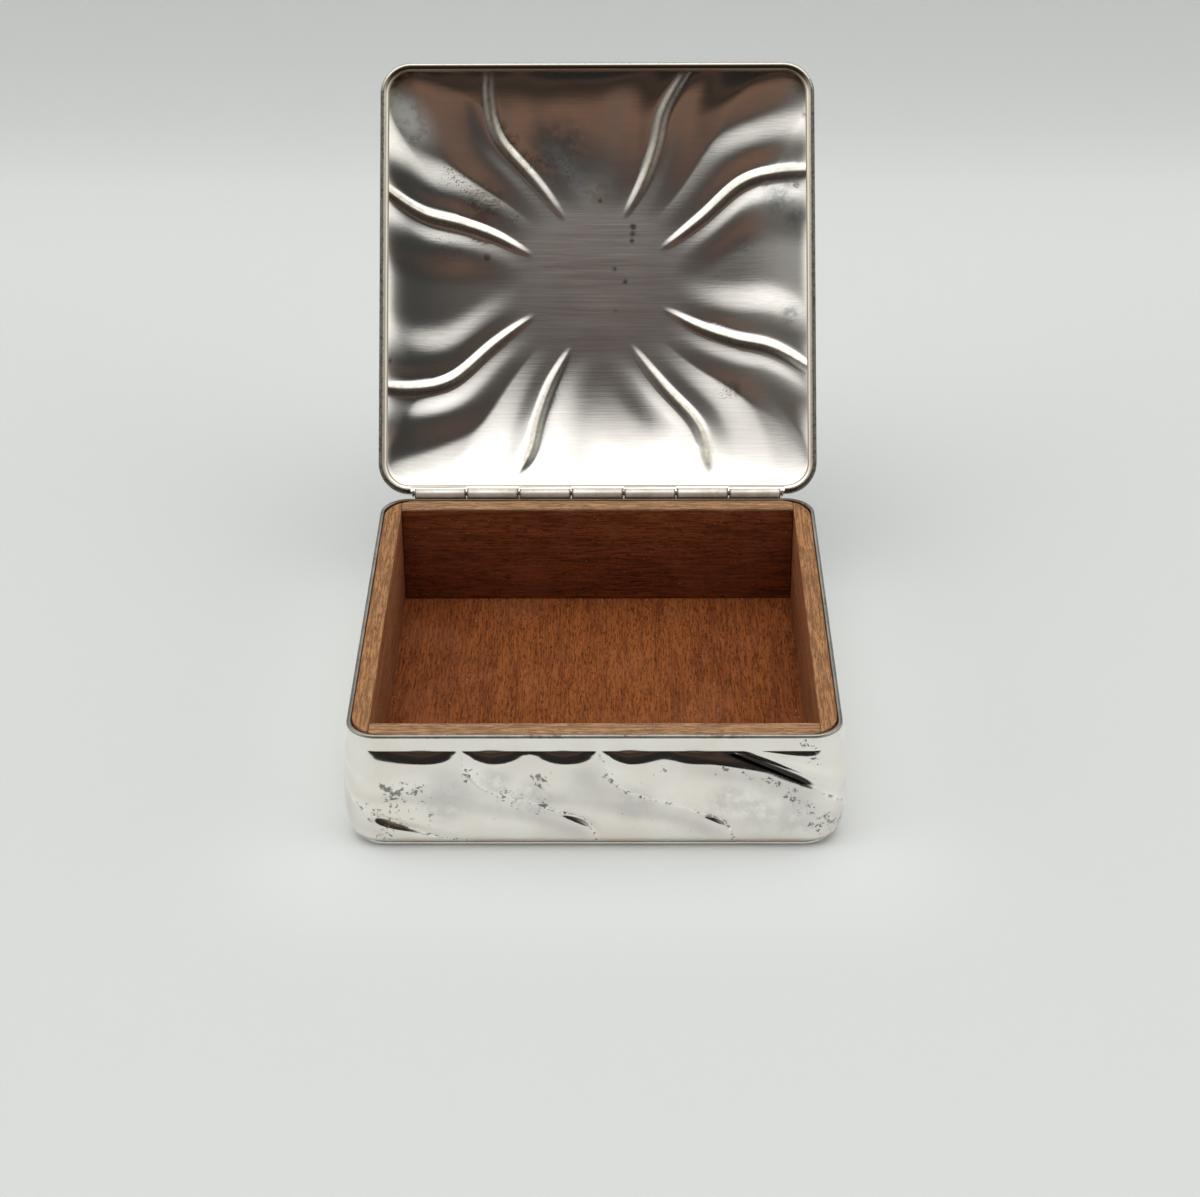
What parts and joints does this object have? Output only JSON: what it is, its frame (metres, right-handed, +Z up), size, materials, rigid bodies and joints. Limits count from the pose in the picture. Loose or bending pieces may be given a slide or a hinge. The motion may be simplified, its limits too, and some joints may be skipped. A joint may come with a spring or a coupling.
{
  "type": "cigarette box",
  "caption": "Square table box with a hinged swirl-fluted metal lid and a wood-lined tray for cigarettes",
  "frame": {"origin": "the middle of the flat underside", "axes": "+Z up, +Y to the hinge at the back, +X to the right as seen from the front, with the lid open"},
  "size_m": [0.1026, 0.1625, 0.1122],
  "materials": {
    "silver": "polished, softly worn",
    "lining_wood": "bare, fine grained",
    "floor_wood": "bare, fine grained"
  },
  "bodies": {
    "box_body": {"base_plate": "silver", "body_wall": "silver", "body_rim": "silver", "hinge_bearer": "silver", "body_knuckle_1": "silver", "body_knuckle_2": "silver", "body_knuckle_3": "silver", "body_knuckle_4": "silver", "hinge_pin": "silver", "lining_front": "lining_wood", "lining_back": "lining_wood", "lining_left": "lining_wood", "lining_right": "lining_wood", "lining_floor": "floor_wood"},
    "lid": {"lid_shell": "silver", "lid_rim": "silver", "lid_knuckle_1": "silver", "lid_knuckle_2": "silver", "lid_knuckle_3": "silver"}
  },
  "joints": [
    {"name": "lid_hinge", "type": "hinge", "parent": "box_body", "child": "lid", "pos_m": [0, 0.05095, 0.0279], "axis": [1, 0, 0], "range_deg": [0, 124.5]}
  ]
}
